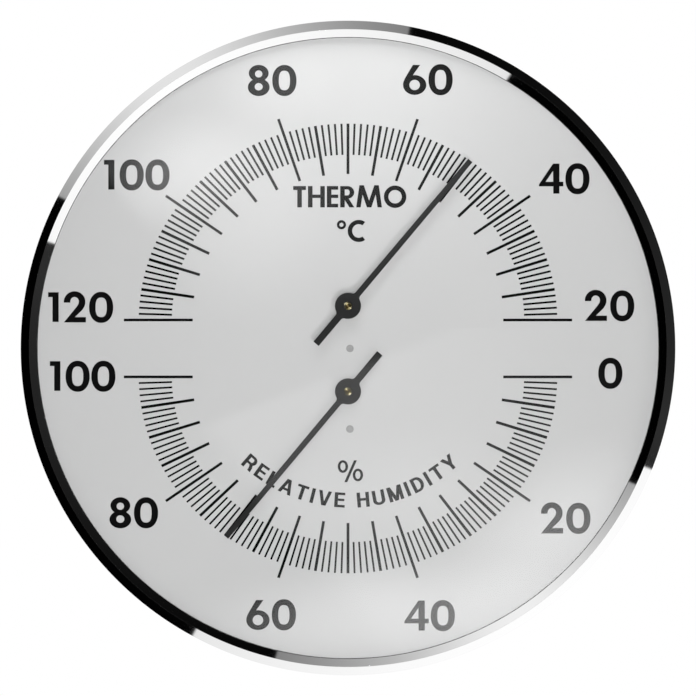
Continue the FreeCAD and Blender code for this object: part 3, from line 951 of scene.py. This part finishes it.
# Polishing haze: marks a few micrometres wide can't show, so they only vary the roughness.
haze = noise(tree, place, 0.6, 3.0)
close_material(tree, {
    "Base Color": linear("EDEDED"), "Metallic": 1.0, "Roughness": mapped(tree, haze, 0, 1, 0.02, 0.05),
})
profile = rounded([
    (bezel_inner, lip_back, 0.0),
    (bezel_inner, rim_depth, polish_rounding),
    (ridge_radius, ridge_depth, polish_rounding),
    (bezel_radius, rim_depth, polish_rounding),
    (bezel_radius, skirt_back, polish_rounding),
    (flange_radius, skirt_back, 0.0),
    (flange_radius, lip_back, 0.0),
])
bezel = make_piece("polished_bezel", turned(profile, bezel_steps), polished_steel, "case")
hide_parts("bezel_ring")

# Floor: a pale matt sheet, just under the instrument. The camera looks along it, so it doesn't show in
# the main view. Mirrors and lamps pass it, so that it doesn't change the light on the instrument.
floor_gap = 0.0001
floor_half = 3.0


def stage_panel(name, corners, height, material, passed_by):
    """A flat panel of the studio, from its corners in metres, which some kinds of light pass."""
    mesh = bpy.data.meshes.new(name)
    mesh.from_pydata(corners, [], [list(range(len(corners)))])
    mesh.materials.append(material)
    panel = bpy.data.objects.new(name, mesh)
    panel.location.z = height
    bpy.context.scene.collection.objects.link(panel)
    for light in passed_by:
        setattr(panel, "visible_" + light, False)
    return panel


pale_sheet, tree, place = start_material("pale_matt_sheet")
fibres = noise(tree, place, 2, 2.0)
close_material(tree, {"Base Color": tone(tree, fibres, "E2E1DF", "E8E7E5"), "Roughness": 0.9})
corners = [(x * floor_half, y * floor_half, 0) for x, y in ((-1, -1), (1, -1), (1, 1), (-1, 1))]
floor_height = cad_box[0].z - floor_gap
floor = stage_panel("floor", corners, floor_height, pale_sheet, ("glossy", "diffuse", "shadow"))

# Camera: square in front, with parallel rays, since the photo shows no perspective. The view is as
# wide as the photograph's.
view_width = 0.14034
camera_distance = 0.6
camera = bpy.data.objects.new("camera", bpy.data.cameras.new("camera"))
camera.data.type = "ORTHO"
camera.data.ortho_scale = view_width
camera.location = (0, -camera_distance, axis_height)
camera.rotation_euler = (math.pi / 2, 0, 0)
bpy.context.scene.collection.objects.link(camera)
bpy.context.scene.camera = camera

# Studio: a dark room with a white softbox low on the right and a grey one high on the left, which the
# bezel mirrors. They reach weakly round to the front, and the room is white behind.
bpy.context.scene.view_settings.view_transform = "Standard"
# A softbox has angles in degrees about the case axis, from the right and up: its middle, half width,
# brightest place, and how far from there its light is halved. Then come its brightness and how fast that
# fades towards the front. The last two are faint glows all round.
softboxes = [
    (115.7, 41.2, 123.0, 27.5, 1.14, 1.67),
    (289.9, 52.9, 305.0, 130.0, 1.17, 0.0),
    (345.0, 190.0, 345.0, 12.0, 0.024, 0.0),
    (12.0, 190.0, 12.0, 25.0, 0.0145, 0.0),
]
softbox_edge = 0.2
narrowing = 37.0
least_fade = 0.5
front_level = 0.08
front_share = 0.2
diffuse_share = 0.2
back_level = 0.95


def heading(degrees):
    """A direction in the plane of the dial, turned from the right and up."""
    return (math.cos(math.radians(degrees)), 0, math.sin(math.radians(degrees)))


world = bpy.data.worlds.new("studio")
world.use_nodes = True
bpy.context.scene.world = world
tree = world.node_tree
tree.nodes.clear()
place = add_node(tree, "TexCoord", {}).outputs["Generated"]
direction = add_node(tree, "SeparateXYZ", {0: place}).outputs
front = calculated(tree, "MULTIPLY", direction["Y"], -1.0)
across = add_node(tree, "CombineXYZ", {"X": direction["X"], "Z": direction["Z"]}).outputs[0]
around = calculated(tree, "NORMALIZE", across, kind="VectorMath")
rim = 0.0
for middle, half_width, brightest, falloff, brightness, fading in softboxes:
    angles = []
    for azimuth in (middle, brightest):
        cosine = calculated(tree, "DOT_PRODUCT", around, heading(azimuth), kind="VectorMath", output="Value")
        angles.append(calculated(tree, "ARCCOSINE", cosine))
    outward = calculated(tree, "MULTIPLY_ADD", front, math.radians(narrowing), angles[0])
    inside, outside = math.radians(half_width - softbox_edge), math.radians(half_width + softbox_edge)
    edge = mapped(tree, outward, inside, outside, 1.0, 0.0)
    share = calculated(tree, "DIVIDE", angles[1], math.radians(falloff))
    spread = calculated(tree, "ADD", calculated(tree, "POWER", share, 2.0), 1.0)
    glow = calculated(tree, "MULTIPLY", calculated(tree, "DIVIDE", brightness, spread), edge)
    fade = calculated(tree, "MULTIPLY_ADD", front, -fading, 1.0)
    glow = calculated(tree, "MULTIPLY", glow, calculated(tree, "MAXIMUM", fade, least_fade))
    rim = calculated(tree, "ADD", rim, glow)
# The zones go by how far a direction points to the front, from -1 at the back to 1 at the lens.
side_zone = mapped(tree, front, 0.26, 0.34, 1.0, front_share)
front_zone = mapped(tree, front, 0.34, 0.7)
lens_zone = mapped(tree, front, 0.975, 0.99, 1.0, 0.0)
back_zone = mapped(tree, front, -0.6, -0.5, 1.0, 0.0)
not_back = calculated(tree, "SUBTRACT", 1.0, back_zone)
rim = calculated(tree, "MULTIPLY", calculated(tree, "MULTIPLY", rim, side_zone), not_back)
level = calculated(tree, "MULTIPLY_ADD", front_zone, front_level, rim)
level = calculated(tree, "MULTIPLY", level, lens_zone)
level = calculated(tree, "MULTIPLY_ADD", back_zone, back_level, level)
ray = add_node(tree, "LightPath", {}).outputs
matt = mapped(tree, ray["Is Diffuse Ray"], 0, 1, 1.0, diffuse_share)
level = calculated(tree, "MULTIPLY", level, matt)
studio = add_node(tree, "Background", {"Color": (1, 1, 1, 1), "Strength": level})
backdrop = add_node(tree, "Background", {"Color": (1, 1, 1, 1), "Strength": 1.0})
seen = add_node(tree, "MixShader", {0: ray["Is Camera Ray"], 1: studio.outputs[0], 2: backdrop.outputs[0]})
add_node(tree, "OutputWorld", {"Surface": seen.outputs[0]})

# Lamps: a small one close above brightens the top of the dial and throws the bezel's shadow there. Soft
# ones round the dial throw the pointers' shadows, two glints light the hubs alone, and two in front give
# the even light.
pointer_parts = ("_stamping", "_hub_tube")
thermo_parts = ("thermo_stamping", "thermo_hub_tube")
hygro_parts = ("hygro_stamping", "hygro_hub_tube")
hub_parts = ("_hub_tube", "_arbor_pin")
lamp_target = Vector((0, -0.019, 0.01))
# A lamp has its place (x, y, z) in metres from the case axis at the wall, its size, its power, whether it
# shows in the dial's sheen, the pieces that alone throw its shadows, and those that it alone lights.
lamps = {
    "top_lamp": ((-0.006, -0.165, 0.088), 0.009, 0.0155, True, (), ()),
    "upper_lamp": ((0.004, -0.08, 0.080), 0.04, 0.026, False, pointer_parts, ()),
    "lower_lamp": ((-0.055, -0.11, -0.045), 0.05, 0.015, False, pointer_parts, ()),
    "right_lamp": ((0.085, -0.10, -0.01), 0.05, 0.007, False, pointer_parts, ()),
    "thermo_side_lamp": ((0.195, -0.75, -0.225), 0.30, 2.9, False, thermo_parts, ()),
    "hygro_side_lamp": ((0.372, -0.69, -0.444), 0.63, 1.8, False, hygro_parts, ()),
    "front_lamp": ((0.0, -1.0, 0.0), 0.07, 2.3, False, (), ()),
    "low_lamp": ((0.01, -1.0, -0.085), 0.16, 2.5, False, (), ()),
    "upper_glint": ((-0.115, -0.10, 0.126), 0.12, 0.09, True, (), hub_parts),
    "lower_glint": ((0.098, -0.10, -0.140), 0.12, 0.09, True, (), hub_parts),
}


def pieces_named(name, endings):
    """A collection of the pieces whose names end in one of the endings."""
    linked = bpy.data.collections.new(name)
    for piece in bpy.context.scene.objects:
        if piece.name.endswith(endings):
            linked.objects.link(piece)
    return linked


not_floor = pieces_named("not_floor", ("floor",))
not_floor.collection_objects[0].light_linking.link_state = "EXCLUDE"
for name, (spot, size, power, in_sheen, throwing, lit) in lamps.items():
    lamp = bpy.data.lights.new(name, "AREA")
    lamp.shape = "DISK"
    lamp.size = size
    lamp.energy = power
    holder = bpy.data.objects.new(name, lamp)
    holder.location = Vector(spot) + Vector((0, 0, axis_height))
    aim = lamp_target - Vector(spot)
    holder.rotation_euler = aim.to_track_quat("-Z", "Y").to_euler()
    bpy.context.scene.collection.objects.link(holder)
    holder.visible_camera = False
    holder.visible_glossy = in_sheen
    if throwing:
        holder.light_linking.blocker_collection = pieces_named(name + "_shadows", throwing)
    holder.light_linking.receiver_collection = pieces_named(name + "_light", lit) if lit else not_floor

# Floor light: a wide even light from above for the pale sheet alone, so that it gives the instrument a
# soft shadow to stand on.
floor_strength = 2.1
floor_softness = 0.7
floor_light = bpy.data.lights.new("floor_light", "SUN")
floor_light.energy = floor_strength
floor_light.angle = floor_softness
holder = bpy.data.objects.new("floor_light", floor_light)
bpy.context.scene.collection.objects.link(holder)
holder.light_linking.receiver_collection = pieces_named("floor_alone", ("floor",))

# Cards: two softly lit panels behind the camera, whose reflections in the glass lighten the print at
# the upper left and over the lower half.
card_distance = 1.0
patch_core = 0.1
# Places are millimetres right of and above the case axis, as they are mirrored in the glass. The level is
# an even light, which the slopes dim. A slope is (place, direction in degrees in which it brightens,
# width), and a patch is (place, half sizes, turn in degrees, brightness, whether the slopes dim it).
cards = {
    "upper_card": {
        "corners": [(-62, 4), (44, 4), (44, 84), (-62, 84)],
        "level": 0.0,
        "slopes": [((-35.5, 17), 37, 4)],
        "patches": [
            ((-35, 36), (21, 13), 15, 2.6, True),
            ((-22, 28), (24, 26), 0, 1.4, True),
            ((-14, 54), (16, 12), 0, 1.0, False),
            ((-8, 44), (50, 40), 0, 0.8, True),
        ],
    },
    "lower_card": {
        "corners": [(-40, -14), (46, 16), (78, 10), (78, -74), (-40, -74)],
        "level": 1.0,
        "slopes": [((-7.3, -7.3), 291, 3), ((-20, -26.5), 40, 9), ((40, -14), 230, 40), ((0, -67), 90, 12)],
        "patches": [
            ((42, -41), (34, 20), 42, 3.1, False),
            ((9, -55), (50, 15), 4, 3.5, False),
            ((14, -30), (29, 17), 0, 0.9, False),
        ],
    },
}
for name, card in cards.items():
    lit_cloth, tree, place = start_material(name + "_lit_cloth")
    dimming = 1.0
    for (x, z), direction, width in card["slopes"]:
        foot = (x * MM, 0, axis_height + z * MM)
        offset = calculated(tree, "SUBTRACT", place, foot, kind="VectorMath")
        along = calculated(tree, "DOT_PRODUCT", offset, heading(direction), kind="VectorMath", output="Value")
        slope = mapped(tree, along, -width / 2 * MM, width / 2 * MM, interpolation_type="SMOOTHSTEP")
        dimming = calculated(tree, "MULTIPLY", dimming, slope)
    total = calculated(tree, "MULTIPLY", dimming, card["level"])
    for (x, z), half_sizes, turn, brightness, dimmed in card["patches"]:
        middle = (x * MM, -card_distance, axis_height + z * MM)
        offset = calculated(tree, "SUBTRACT", place, middle, kind="VectorMath")
        inputs = {"Vector": offset, "Axis": (0, 1, 0), "Angle": math.radians(turn)}
        offset = add_node(tree, "VectorRotate", inputs).outputs[0]
        sizes = (half_sizes[0] * MM, 1, half_sizes[1] * MM)
        shares = calculated(tree, "DIVIDE", offset, sizes, kind="VectorMath")
        reach = calculated(tree, "LENGTH", shares, kind="VectorMath", output="Value")
        patch = mapped(tree, reach, 1.0, patch_core, interpolation_type="SMOOTHSTEP")
        if dimmed:
            patch = calculated(tree, "MULTIPLY", patch, dimming)
        total = calculated(tree, "MULTIPLY_ADD", patch, brightness, total)
    glow = add_node(tree, "Emission", {"Strength": total})
    add_node(tree, "OutputMaterial", {"Surface": glow.outputs["Emission"]})
    corners = [(x * MM, -card_distance, axis_height + z * MM) for x, z in card["corners"]]
    panel = stage_panel(name, corners, 0.0, lit_cloth, ("camera", "diffuse", "shadow"))
